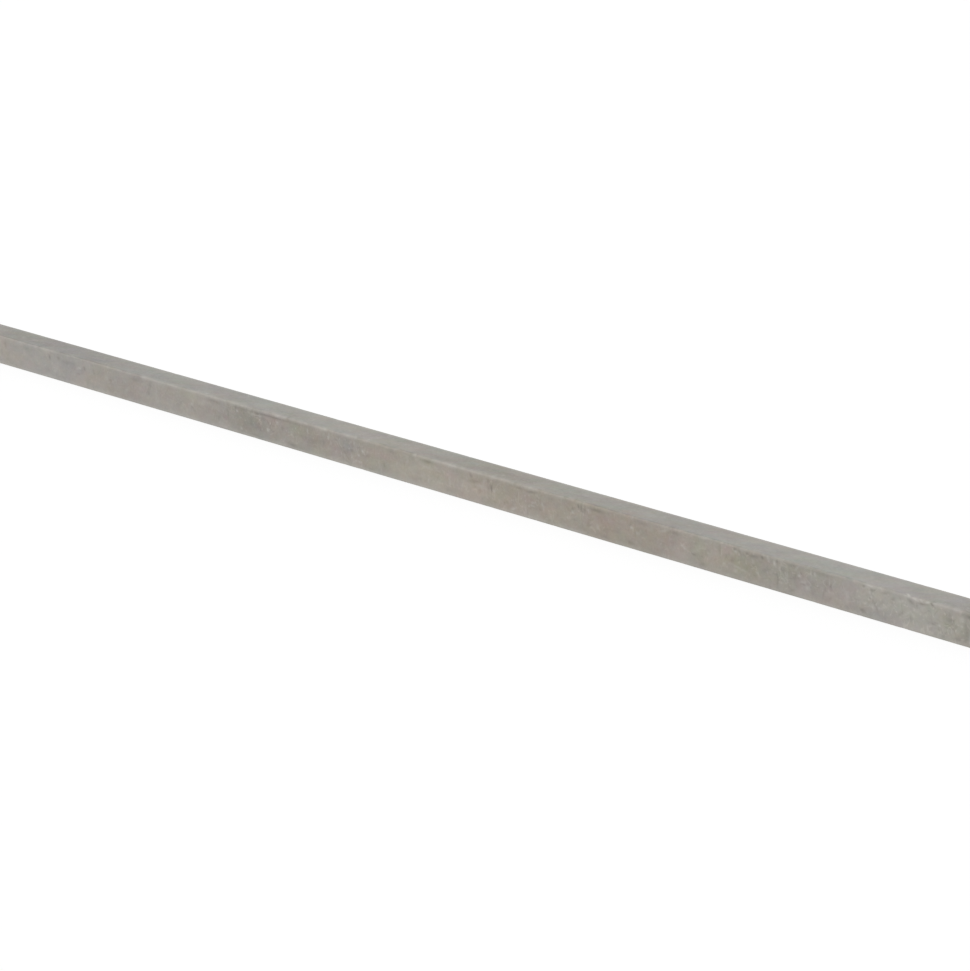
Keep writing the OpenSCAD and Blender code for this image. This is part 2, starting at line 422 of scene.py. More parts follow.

# Marks on the front flank and its top corner: place along X, share of the way down, length,
# width, turn in degrees, depth in thousandths of a millimetre, and how bare the metal is there,
# or, below zero, how grimy. Grimy rows on and just under the corner, near a share of 0, are
# painted shade that dims its highlight and darkens the line beneath it, and bare rows on the
# corner are partly painted glints of its highlight.
FRONT_MARKS = [
    (-126, 0.55, 0.8, 0.25, 90, 4, -0.16),
    (-124.8, 0.22, 0.6, 0.3, 90, 6, -0.28),
    (-118, 0.12, 1.8, 0.4, 0, 4, -0.16),
    (-110.8, 0.75, 0.6, 0.5, 0, 4, -0.12),
    (-110.3, 0.22, 0.6, 0.22, 85, 6, -0.36),
    (-108.5, 0.7, 1.2, 0.25, -55, 3, 0.26),
    (-107.5, 0.15, 0.5, 0.4, 0, 6, -0.24),
    (-104.4, 0.23, 1.8, 0.5, 0, 3, -0.16),
    (-103, -0.04, 3.5, 0.35, 0, 2, -0.1),
    (-101, 0.57, 0.7, 0.2, -20, 6, -0.24),
    (-100.8, 0.32, 0.6, 0.2, -20, 10, 0.65),
    (-99.2, 0.28, 0.5, 0.25, 88, 6, -0.24),
    (-96.3, 0.3, 0.8, 0.3, 90, 4, -0.16),
    (-90.8, 0.42, 1.2, 0.35, -20, 4, -0.16),
    (-86, 0.65, 1, 0.3, -50, 3, 0.26),
    (-83.2, 0.15, 1.2, 0.45, -10, 4, -0.16),
    (-79.3, 0.52, 0.4, 0.4, 0, 8, -0.32),
    (-78.8, 0.15, 0.6, 0.3, 90, 4, -0.16),
    (-77, 0.4, 1.6, 0.35, 88, 2, 0.2),
    (-66.2, 0.46, 0.25, 0.22, 0, 12, 0.65),
    (-66.1, 0.56, 0.3, 0.22, 0, 10, -0.36),
    (-65.8, 0.3, 0.24, 0.3, 0, 6, 0.39),
    (-65.4, 0.67, 0.8, 0.2, 45, 6, -0.2),
    (-60, 0.1, 2, 0.35, 0, 3, -0.2),
    (-58, 0.62, 0.8, 0.5, -30, 3, -0.12),
    (-55.5, 0.33, 1.5, 0.2, 86, 6, -0.24),
    (-53.4, 0.22, 0.35, 0.2, 60, 8, -0.28),
    (-53.2, 0.08, 0.45, 0.22, -50, 8, -0.45),
    (-52.8, 0.2, 0.24, 0.2, 0, 12, 0.78),
    (-51.6, 0.83, 0.28, 0.24, 0, 8, 0.59),
    (-51.5, 0.07, 2.5, 0.22, 0, 6, -0.2),
    (-48.7, 0.5, 1.2, 0.35, 88, 4, -0.16),
    (-48.4, 0.16, 0.6, 0.2, -22, 6, 0.45),
    (-48, 0.94, 1.8, 0.2, 0, 5, -0.2),
    (-46.8, 0.08, 0.6, 0.28, 0, 8, -0.45),
    (-46.2, 0.17, 0.45, 0.22, 0, 8, 0.52),
    (-45.3, 0.22, 0.9, 0.2, 8, 6, -0.28),
    (-43.9, 0.3, 0.45, 0.2, 55, 6, -0.24),
    (-43.9, 0.6, 0.3, 0.28, 0, 14, 0.95),
    (-43.5, 0.06, 6.5, 0.24, 0, 6, -0.4),
    (-41.2, 0.22, 0.28, 0.24, 0, 10, 0.59),
    (-39.7, 0.38, 0.45, 0.4, 0, 6, -0.28),
    (-37, 0.92, 1, 0.35, 0, 6, -0.36),
    (-36.5, 0.45, 0.35, 0.3, 0, 4, -0.16),
    (-34.6, 0.95, 0.5, 0.25, 0, 5, -0.24),
    (-32.6, 0.2, 0.55, 0.2, 88, 6, 0.52),
    (-26.8, 0.21, 0.28, 0.24, 0, 10, 0.65),
    (-26.6, 0.12, 0.5, 0.2, 88, 5, 0.33),
    (-22.6, 0.42, 0.28, 0.24, 0, 10, -0.4),
    (-22.3, 0.6, 0.32, 0.26, 0, 10, -0.4),
    (-22.3, 0.75, 0.7, 0.2, 85, 5, 0.33),
    (-21.4, 0.52, 0.7, 0.2, -55, 5, -0.24),
    (-20.3, 0.45, 0.5, 0.38, 20, 6, -0.28),
    (-20.3, 0.7, 0.6, 0.2, 90, 5, 0.39),
    (-20, -0.06, 0.5, 0.25, 0, 8, 0.35),
    (-19.6, 0.15, 0.5, 0.2, 88, 6, 0.52),
    (-19.2, 0.81, 0.5, 0.2, -25, 5, 0.52),
    (-18.4, 0.56, 0.24, 0.2, 0, 12, 0.78),
    (-18.2, 0.8, 0.6, 0.2, 12, 5, 0.52),
    (-17.3, 0.37, 0.3, 0.28, 0, 14, 0.95),
    (-16.5, 0.5, 1.5, 0.3, -5, 4, -0.16),
    (-15, 0.95, 0.9, 0.25, 0, 5, -0.24),
    (-11.5, 0.65, 0.5, 0.35, 40, 5, -0.2),
    (-9.2, 0.05, 1, 0.35, 0, 5, -0.25),
    (-7.5, -0.03, 3, 0.35, 0, 2, -0.1),
    (-5.2, 0.25, 0.6, 0.2, -70, 4, 0.39),
    (-2.8, 0.1, 0.3, 0.25, 0, 6, 0.3),
    (-1.6, 0.78, 0.35, 0.3, 0, 5, -0.2),
    (-1.3, 0.63, 0.35, 0.3, 0, 6, 0.39),
    (0.2, 0.06, 1.5, 0.3, 0, 6, -0.4),
    (0.3, 0.27, 1, 0.28, 0, 3, 0.26),
    (0.5, 0.75, 0.7, 0.2, 88, 4, 0.39),
    (6, 0.55, 1.2, 0.2, 88, 4, 0.39),
    (9.3, 0.58, 1, 0.2, -75, 4, 0.33),
    (10.4, 0.62, 0.9, 0.2, -75, 4, 0.26),
    (11.5, 0.1, 0.5, 0.28, 60, 6, -0.35),
    (12.5, 0.28, 1.5, 0.24, -8, 5, -0.24),
    (14.3, 0.4, 1.2, 0.28, 5, 4, 0.33),
    (15.9, 0.12, 0.5, 0.35, 0, 5, -0.24),
    (16.1, 0.36, 0.6, 0.35, 90, 5, -0.24),
    (16.8, 0.3, 0.4, 0.28, 90, 20, -0.7),
    (16.9, 0.42, 0.4, 0.2, 90, 20, -0.7),
    (17.5, 0.43, 0.4, 0.24, -20, 6, 0.39),
    (20.3, 0.74, 0.35, 0.2, -70, 6, -0.28),
    (20.9, 0.69, 0.35, 0.2, 60, 6, -0.28),
    (22.4, 0.6, 0.5, 0.22, 88, 6, -0.28),
    (22.5, 0.87, 0.7, 0.2, -22, 8, 0.72),
    (24, 0.06, 0.9, 0.25, 0, 4, -0.25),
    (24, 0.6, 0.6, 0.22, 88, 4, -0.16),
    (25.6, 0.8, 0.6, 0.22, 80, 5, 0.39),
    (26.9, 0.08, 1.3, 0.24, -5, 5, -0.35),
    (27, 0.65, 1, 0.2, -18, 4, -0.2),
    (27.3, -0.03, 0.3, 0.25, 0, 8, 0.35),
    (27.4, 0.56, 0.7, 0.2, -10, 5, 0.39),
    (27.6, 0.42, 0.8, 0.2, -5, 5, 0.45),
    (28.5, 0.24, 0.6, 0.2, 88, 5, -0.2),
    (29.4, 0.62, 0.5, 0.22, -15, 5, -0.24),
    (29.8, 0.42, 0.4, 0.2, 60, 5, 0.45),
    (30.1, 0.54, 0.3, 0.2, -60, 5, 0.39),
    (33.5, 0.32, 1, 0.5, -20, 3, -0.12),
    (36.1, -0.14, 0.4, 0.22, 0, 8, 0.35),
    (36.3, 0.6, 0.9, 0.2, -18, 4, 0.26),
    (37.3, 0.25, 0.26, 0.24, 0, 6, -0.28),
    (37.3, 0.36, 0.24, 0.2, 0, 10, 0.78),
    (37.4, 0.64, 1.3, 0.2, -20, 4, -0.16),
    (38.7, 0.1, 0.5, 0.2, 60, 10, -0.55),
    (39.4, 0.14, 0.6, 0.2, 90, 10, -0.44),
    (39.6, -0.12, 0.6, 0.2, -10, 8, 0.3),
    (39.8, 0.26, 0.5, 0.2, 0, 10, -0.36),
    (40.2, 0.14, 0.6, 0.2, 90, 10, -0.44),
    (43, 0.07, 1.7, 0.32, 0, 6, -0.45),
    (43.5, 0.65, 0.6, 0.35, 70, 4, 0.33),
    (45.4, 0.92, 1, 0.3, 0, 5, -0.24),
    (51.3, 0.24, 0.5, 0.22, -60, 8, -0.32),
    (51.5, 0.86, 0.9, 0.4, 0, 6, -0.32),
    (51.6, 0.31, 0.28, 0.24, 0, 10, 0.72),
    (53, 0.46, 0.28, 0.28, 0, 6, 0.45),
    (53.6, 0.4, 1, 0.2, -65, 4, 0.26),
    (53.9, 0.06, 1.8, 0.45, 0, 4, -0.25),
    (56, -0.04, 1.8, 0.35, 0, 2, -0.1),
    (59.3, 0.1, 1, 0.2, -26, 6, 0.4),
    (62, 0.07, 1.5, 0.35, 0, 4, -0.25),
    (63.6, 0.42, 0.3, 0.2, 40, 8, 0.65),
    (64.1, 0.48, 0.35, 0.2, 10, 8, 0.65),
    (66.5, 0.61, 0.55, 0.2, -10, 6, -0.36),
    (68.3, 0.62, 0.4, 0.24, -20, 4, -0.2),
    (68.5, 0.88, 0.9, 0.4, 0, 5, -0.24),
    (68.9, 0.52, 1.1, 0.2, -24, 5, -0.16),
    (69.2, 0.43, 1.2, 0.2, -24, 5, -0.16),
    (69.5, 0.34, 1, 0.2, -24, 5, -0.2),
    (72.3, 0.17, 0.9, 0.22, 88, 6, -0.28),
    (73.4, 0.64, 0.26, 0.24, 0, 8, 0.52),
    (73.9, 0.35, 0.26, 0.24, 0, 6, -0.32),
    (75.3, 0.42, 0.5, 0.38, -50, 6, -0.28),
    (75.8, 0.02, 0.3, 0.22, 0, 8, -0.5),
    (76, 0.11, 0.28, 0.24, 0, 10, 0.6),
    (76, 0.77, 0.4, 0.35, 0, 5, 0.39),
    (76.9, 0.08, 0.5, 0.2, 50, 5, -0.3),
    (77, 0.65, 1.9, 0.2, 12, 3, 0.33),
    (78.5, 0.05, 0.26, 0.22, 0, 6, -0.45),
    (80, 0.09, 1.2, 0.28, -8, 5, -0.35),
    (80, 0.3, 0.4, 0.28, 80, 4, 0.26),
    (80.1, 0.43, 0.45, 0.38, 0, 6, -0.24),
    (80.4, 0.73, 0.35, 0.3, 0, 6, -0.24),
    (81, 0.62, 0.26, 0.24, 0, 6, 0.45),
    (82, 0.05, 0.4, 0.28, 50, 8, -0.5),
    (83, 0.43, 1, 0.32, -35, 5, -0.24),
    (83.3, 0.01, 0.5, 0.22, 70, 8, 0.4),
    (84.8, 0.13, 0.45, 0.2, 88, 8, 0.85),
    (85.3, 0.03, 0.45, 0.2, 88, 8, -0.45),
    (85.5, 0.76, 1.2, 0.2, 88, 5, -0.28),
    (87.6, 0.4, 1, 0.2, 88, 3, 0.26),
    (88.6, 0.02, 1.2, 0.4, 0, 4, -0.2),
    (88.7, 0.88, 0.8, 0.3, -20, 5, -0.2),
    (89.5, 0.36, 0.6, 0.2, -60, 5, -0.24),
    (89.8, 0.05, 0.6, 0.2, -45, 6, 0.4),
    (90.3, 0.31, 0.28, 0.24, 0, 10, 0.65),
    (90.6, 0.22, 0.5, 0.2, -50, 6, -0.28),
    (91.4, 0.48, 0.8, 0.2, -15, 4, 0.39),
    (91.5, 0.56, 0.7, 0.2, -15, 5, -0.24),
    (92.3, 0.66, 0.45, 0.35, 0, 5, 0.39),
    (93, -0.08, 1.4, 0.35, 0, 2, -0.1),
    (93.8, 0.12, 0.4, 0.2, 85, 8, 0.59),
    (95.8, 0.03, 1.6, 0.38, 0, 4, -0.25),
    (95.9, 0.6, 1.2, 0.2, -78, 5, -0.28),
    (96.5, 0.3, 0.5, 0.2, -60, 6, -0.28),
    (97, 0.28, 0.3, 0.2, 85, 6, 0.45),
    (97.3, 0.36, 0.4, 0.22, 85, 8, -0.36),
    (101, 0.65, 0.9, 0.22, 80, 4, 0.26),
    (104.3, 0.87, 0.7, 0.3, 10, 10, -0.36),
    (104.4, 0.03, 0.3, 0.22, 0, 10, -0.45),
    (105, 0.59, 0.26, 0.22, 0, 8, 0.5),
    (105.6, -0.03, 0.9, 0.22, 5, 12, 0.75),
    (105.7, 0.17, 0.26, 0.22, 0, 10, 0.65),
    (105.8, 0.38, 0.26, 0.22, 0, 6, -0.28),
    (106.1, 0.33, 0.26, 0.22, 0, 10, 0.65),
    (106.4, 0.08, 0.7, 0.24, 0, 8, -0.4),
    (106.5, 0.65, 0.7, 0.28, 55, 5, 0.39),
    (106.7, 0.48, 0.6, 0.2, 50, 6, -0.24),
    (107.4, 0.68, 0.6, 0.22, 75, 6, -0.28),
    (107.8, 0.63, 0.26, 0.22, 0, 8, 0.5),
    (108.4, 0.4, 0.6, 0.24, -45, 5, -0.24),
    (109, 0.06, 0.9, 0.2, -8, 5, -0.3),
    (109, 0.53, 1.5, 0.2, -33, 5, 0.45),
    (110.6, 0.33, 0.3, 0.22, 0, 6, -0.24),
    (110.7, 0.17, 0.55, 0.3, -40, 6, -0.24),
    (112.4, 0.18, 0.8, 0.2, -22, 6, 0.52),
    (112.5, 0.58, 1, 0.24, -40, 6, -0.24),
    (113.4, 0.18, 0.5, 0.2, 45, 6, 0.39),
    (113.7, -0.1, 0.7, 0.2, 28, 20, 0.95),
    (114, 0.5, 0.8, 0.2, -35, 6, 0.45),
    (114.3, 0.66, 0.6, 0.45, 0, 6, -0.24),
    (114.4, 0.1, 0.9, 0.35, 25, 12, -0.4),
    (115, 0.53, 0.5, 0.2, 32, 6, 0.45),
    (115.4, -0.01, 0.6, 0.2, 15, 14, 0.75),
    (115.6, 0.35, 0.6, 0.2, 18, 5, 0.39),
    (115.7, 0.15, 0.6, 0.2, 85, 8, -0.28),
    (116.5, -0.04, 0.5, 0.2, 20, 16, 0.6),
    (116.8, 0.07, 1.1, 0.2, -4, 14, -0.45),
    (117.9, -0.03, 0.5, 0.2, -20, 16, 0.75),
    (118.2, 0.85, 0.8, 0.22, 80, 6, 0.52),
    (118.9, 0, 0.6, 0.2, 35, 16, -0.5),
    (119.3, -0.12, 0.4, 0.2, 0, 12, -0.45),
    (119.5, 0.6, 0.8, 0.2, -15, 6, -0.28),
    (120.5, 0.71, 0.26, 0.2, 0, 8, -0.36),
    (120.6, 0.62, 0.26, 0.2, 0, 8, 0.65),
    (122.6, 0.15, 0.6, 0.22, 88, 5, -0.2),
    (122.8, 0.36, 0.7, 0.55, 0, 6, -0.28),
    (124.4, 0.9, 0.8, 0.28, -20, 6, -0.28),
    (125.1, 0.2, 0.4, 0.38, 0, 6, 0.39),
    (125.2, 0.44, 0.35, 0.28, 0, 8, 0.52),
    (126.4, 0.6, 1.8, 0.45, 78, 6, -0.16),
    (126.7, 0.06, 0.5, 0.32, 0, 8, -0.45),
]

# The photograph, in pixels, and the camera that took it. Azimuth 0 looks along +Y, and
# elevation is above the horizon, both in degrees.
PHOTO_WIDTH = 970
PHOTO_HEIGHT = 971
FOCAL_LENGTH_PIXELS = 3620.3
SENSOR_WIDTH = 36.0
VIEW_AZIMUTH = 43.07
VIEW_ELEVATION = 18.0
VIEW_DISTANCE = 0.68564
VIEW_CENTRE_X = 0.01223
VIEW_LIFT = -0.00043

# Layout of the unwrapped bar: strips of equal length, laid in four columns, then the two ends
STRIPS = 12
STRIP_COLUMNS = 4
STRIP_HEIGHT = 0.29
STRIP_MARGIN = 0.004
END_SIZE = 0.1
END_LEVEL = 0.885
END_START = 0.02
END_SPACING = 0.14

# Colours of the steel: the top face and the underside, the flanks, grime, bare metal, and the
# sawn ends. The flanks' grey is painted lighter than the top's, to make up for the dimmer light
# that they mirror. Near the corners grime also paints shade, and bare metal a highlight.
TOP_GREY = (0.291, 0.278, 0.252, 1)
FLANK_GREY = (0.347, 0.323, 0.2915, 1)
GRIME_AND_SHADE_GREY = (0.127, 0.118, 0.105, 1)
BARE_AND_HIGHLIGHT_GREY = (0.505, 0.492, 0.46, 1)
SAWN_GREY = (0.37, 0.36, 0.342)

# What one unit of warmer and of pinker adds to the factors of red, green and blue
WARMER = (1.0, 0.0, -1.4)
PINKER = (0.5, -0.8, 0.3)

# The floor: half its width in metres, its grey where it lights the bar, and its grey and its
# glow where it is seen
FLOOR_HALF = 10.0
FLOOR_GREY = (0.8, 0.8, 0.8, 1)
SEEN_FLOOR_GREY = (0.09, 0.09, 0.09, 1)
SEEN_FLOOR_GLOW = 0.92
WHITE = (1, 1, 1, 1)

# Light of the white surroundings where it falls on things; seen, or mirrored, it is 1
SKY_LIGHT = 0.94

SEED = 23


def flat_place(side, share):
    """Place on a flat, measured round the section."""
    return side * SIDE_LENGTH + ARC_LENGTH + share * FLAT_LENGTH


def corner_place(side):
    """Middle of the corner that comes before a side, measured round the section."""
    return side * SIDE_LENGTH + ARC_LENGTH / 2


def eased(share):
    """Share of a way that starts and ends gently."""
    return share * share * (3 - 2 * share)


def ring_places():
    """Places of the rings along X: closer together on the chamfers and the bruised stretch."""
    half = BAR_LENGTH / 2
    chamfer = np.linspace(0, END_CHAMFER, CHAMFER_RINGS + 1)
    stops = [-half + END_CHAMFER, *BRUISE, half - END_CHAMFER]
    places = [-half + chamfer[:-1]]
    for start, end, step in zip(stops, stops[1:], (RING_STEP, FINE_RING_STEP, RING_STEP)):
        places.append(np.linspace(start, end, round((end - start) / step), endpoint=False))
    places.append(half - chamfer[::-1])
    return np.concatenate(places)


def wavering(random, places, step, tracks=1):
    """Smooth noise from -1 to 1 along the bar, with a new value every `step` millimetres."""
    position = (places - places[0]) / step
    knots = random.uniform(-1, 1, (int(position[-1]) + 2, tracks))
    index = position.astype(int)
    share = eased(position - index)[:, None]
    return knots[index] * (1 - share) + knots[index + 1] * share


class Surface:
    """Net of rings and columns that holds how far the surface is pressed in, and its marks."""

    def __init__(self):
        self.x = ring_places()
        self.make_columns()
        size = (len(self.x), len(self.u))
        self.inset = np.zeros(size)
        self.layers = {name: np.zeros(size) for name in LAYERS}
        self.radius = np.full((len(self.x), 4), CORNER_RADIUS)
        self.wander = np.zeros((len(self.x), 4))
        self.rubbing_and_highlight = np.ones(len(self.x))

    def make_columns(self):
        """Each column stands on an arc, or part of the way along the flat that follows it."""
        arc = np.linspace(0, 1, ARC_STEPS + 1)
        columns = []
        for side, steps in enumerate(FLAT_STEPS):
            flat = np.arange(1, steps) / steps
            flat = (flat + eased(flat)) / 2
            turn = (side + np.append(arc, np.ones(len(flat)))) * math.pi / 2
            share = np.append(np.zeros(len(arc)), flat)
            along = np.append(arc * ARC_LENGTH, ARC_LENGTH + flat * FLAT_LENGTH)
            columns.append(np.stack([np.full(len(turn), side), turn, share,
                                     side * SIDE_LENGTH + along]))
        columns = np.roll(np.concatenate(columns, axis=1), -(ARC_STEPS // 2), axis=1)
        side, self.angle, self.share, u = columns
        self.side = side.astype(int)
        self.u = np.where(u < u[0], u + ROUND_LENGTH, u)

    def across(self, place):
        """Signed distance of every column from a place round the section."""
        return (self.u - place + ROUND_LENGTH / 2) % ROUND_LENGTH - ROUND_LENGTH / 2

    def press(self, x, place, length, width, turn, depth, **marks):
        """Presses in one small soft mark, and shows bare metal or grime there; at the top front
        corner these are partly a painted highlight and painted shade.
        """
        reach = MARK_REACH * max(length, width)
        rows = slice(*np.searchsorted(self.x, [x - reach, x + reach]))
        along = self.x[rows, None] - x
        across = self.across(place)
        angle = math.radians(turn)
        a = (along * math.cos(angle) + across * math.sin(angle)) / length
        b = (across * math.cos(angle) - along * math.sin(angle)) / width
        weight = np.exp(-a * a - b * b)
        self.inset[rows] += depth * weight
        for name, amount in marks.items():
            self.layers[name][rows] = np.maximum(self.layers[name][rows], amount * weight)

    def stain(self, side, x, share, length, height, **tones):
        """Adds a soft patch of another tone to one side."""
        along = (self.x[:, None] - x) / length
        across = self.across(flat_place(side, share)) / height
        on_side = np.abs(self.across(flat_place(side, 0.5))) < SIDE_LENGTH / 2
        for name, amount in tones.items():
            self.layers[name] += amount * np.exp(-along * along - across * across) * on_side

    def polish_and_highlight(self, side, amount):
        """Rubs the corner before a side bare, and paints a highlight along it, as much as each
        ring's amount says.
        """
        across = self.across(corner_place(side) + RUB_HIGHLIGHT_OFFSET[side]) - self.wander[:, side, None]
        across = across / RUB_HIGHLIGHT_HEIGHT
        self.layers["bare"] += np.asarray(amount)[:, None] * np.exp(-across * across)

    def rub_and_highlight(self, side, start, end, amount):
        """Rubs one stretch of the corner before a side bare, and paints a highlight along it."""
        begun = eased(np.clip((self.x - start) / RUB_HIGHLIGHT_FADE + 0.5, 0, 1))
        left = eased(np.clip((end - self.x) / RUB_HIGHLIGHT_FADE + 0.5, 0, 1))
        self.polish_and_highlight(side, amount * begun * left * self.rubbing_and_highlight)

    def arc_points(self, half, radius, side):
        """Points of the section on the arcs before the given sides, at the columns' angles."""
        radius = radius[:, side]
        reach = half[:, None] - radius
        signs = CORNER_SIGNS[side]
        return np.stack([
            signs[:, 0] * reach + radius * np.cos(self.angle),
            signs[:, 1] * reach + radius * np.sin(self.angle),
        ])

    def points(self):
        """Points of every ring, in millimetres from the bar's middle, with marks pressed in."""
        from_end = BAR_LENGTH / 2 - np.abs(self.x)
        half = BAR_SIDE / 2 - np.clip(END_CHAMFER - from_end, 0, None)
        radius = self.radius * np.clip(from_end / END_CHAMFER, LEAST_RADIUS, 1)[:, None]
        before = self.arc_points(half, radius, self.side)
        after = self.arc_points(half, radius, (self.side + 1) % 4)
        section = np.where(self.share > 0, before * (1 - self.share) + after * self.share, before)
        inset = self.inset * np.clip((from_end - END_CHAMFER) / MARK_FADE, 0, 1)[:, None]
        normal = np.stack([np.cos(self.angle), np.sin(self.angle)])
        section = section - normal[:, None, :] * inset
        return np.stack([np.broadcast_to(self.x[:, None], inset.shape), *section], axis=-1)


def swell(surface, random):
    """Slight swell of the drawn sides, and corners that the die left not quite even."""
    surface.radius += RADIUS_CHANGE * (1 + wavering(random, surface.x, 9.0, 4))
    height = wavering(random, surface.x, 5.0, SWELL_TRACKS)
    place = surface.u / ROUND_LENGTH * SWELL_TRACKS
    index = place.astype(int)
    share = eased(place - index)
    after = height[:, (index + 1) % SWELL_TRACKS]
    height = height[:, index % SWELL_TRACKS] * (1 - share) + after * share
    surface.inset += SWELL * (1 + height)


def anywhere(random):
    """A random place along the bar."""
    return random.uniform(-0.5, 0.5) * BAR_LENGTH


def random_stain(surface, random, side, lengths, heights, tones):
    """A soft patch at a random place on one side, with each amount drawn from its range."""
    surface.stain(
        side=side,
        x=anywhere(random),
        share=random.uniform(0.1, 0.9),
        length=random.uniform(*lengths),
        height=random.uniform(*heights),
        **{name: random.uniform(*limits) for name, limits in tones.items()},
    )


def wear(surface, random):
    """Rubbed corners, partly a painted highlight, and the knocks and stains that the bar has taken
    on every side.
    """
    surface.wander = RUB_HIGHLIGHT_STRAY * wavering(random, surface.x, 2.6, 4)
    surface.rubbing_and_highlight = 1 + RUB_HIGHLIGHT_UNEVEN * wavering(random, surface.x, 1.1)[:, 0]
    # Every corner a little bare, partly a painted highlight; the front corner only out of view
    for side in range(4):
        wave = wavering(random, surface.x, 4.0) + 0.4 * wavering(random, surface.x, 0.9)
        amount = 0.09 + 0.06 * wave[:, 0]
        if side == FRONT:
            amount *= np.abs(surface.x) > IN_VIEW
        surface.polish_and_highlight(side, amount)
    for _ in range(KNOCKS):
        bare = random.uniform(0, 0.25)
        surface.press(
            x=anywhere(random),
            place=random.uniform(0, ROUND_LENGTH),
            length=random.uniform(0.25, 1.2),
            width=random.uniform(0.15, 0.4),
            turn=random.uniform(-70, 70),
            depth=random.uniform(0.002, 0.008),
            bare=bare,
        )
    for side in range(4):
        for _ in range(CORNER_KNOCKS):
            surface.press(
                x=anywhere(random),
                place=corner_place(side) + random.uniform(-0.2, 0.2),
                length=random.uniform(0.2, 1.1),
                width=random.uniform(0.15, 0.3),
                turn=random.uniform(-25, 25),
                depth=random.uniform(0.01, 0.03),
                bare=random.uniform(0.05, 0.3),
            )
        tones = {"lighter": (-0.02, 0.02), "warmer": (-0.012, 0.012), "pinker": (-0.012, 0.012)}
        for _ in range(SIDE_STAINS):
            random_stain(surface, random, side, (1.5, 8.0), (0.8, 2.5), tones)
        for _ in range(SIDE_SCUFFS if side != FRONT else 0):
            random_stain(surface, random, side, (2.0, 7.0), (1.0, 3.0), {"scuffed": (0.2, 0.9)})


def mark_by_hand(surface):
    """The stains, rubbed stretches and marks that the photograph shows. The rubbed stretches are
    partly a painted highlight, and some stains and marks at the top front corner paint its
    highlight and the shade beneath it.
    """
    for side, stains in ((FRONT, FRONT_STAINS_AND_PAINTED_LIGHT), (TOP, TOP_STAINS)):
        for x, share, length, height, *tones in stains:
            tones = {name: tone * THOUSANDTH for name, tone in zip(TONES, tones)}
            surface.stain(side, x, share, length, height, **tones)
    for x, share, length, height, scuffed in FRONT_SCUFFS:
        surface.stain(FRONT, x, share, length, height, scuffed=scuffed)
    # Rubbed stretches of the corners, partly a painted highlight
    for start, end, amount in CORNER_RUBS_AND_HIGHLIGHT:
        surface.rub_and_highlight(FRONT, start, end, amount)
    for side, start, end, amount in OTHER_RUBS_AND_HIGHLIGHT:
        surface.rub_and_highlight(side, start, end, amount)
    for x, share, length, width, turn, depth, bare in FRONT_MARKS:
        surface.press(x, flat_place(FRONT, share), length, width, turn, depth * THOUSANDTH,
                      bare=max(bare, 0), grime=max(-bare, 0))


def strip_place(strip, x, u):
    """Place in the unwrapped layout of a point on the skin."""
    length = BAR_LENGTH / STRIPS
    width = 1 / STRIP_COLUMNS
    along = (x + BAR_LENGTH / 2) / length - strip
    across = (u - corner_place(TOP)) / ROUND_LENGTH
    return (
        strip % STRIP_COLUMNS * width + STRIP_MARGIN + along * (width - 2 * STRIP_MARGIN),
        strip // STRIP_COLUMNS * STRIP_HEIGHT + STRIP_MARGIN
        + across * (STRIP_HEIGHT - 2 * STRIP_MARGIN),
    )


def end_place(end, i, j):
    """Place in the unwrapped layout of a point on a sawn end."""
    return (END_START + end * END_SPACING + i * END_SIZE, END_LEVEL + (1 - j) * END_SIZE)


def saw_mark(y, z):
    """Depth of the saw's ridges at a place on an end: slightly bowed lines."""
    return SAW_DEPTH * (1 + math.sin((y + SAW_BOW * z * z) * 2 * math.pi / SAW_SPACING))


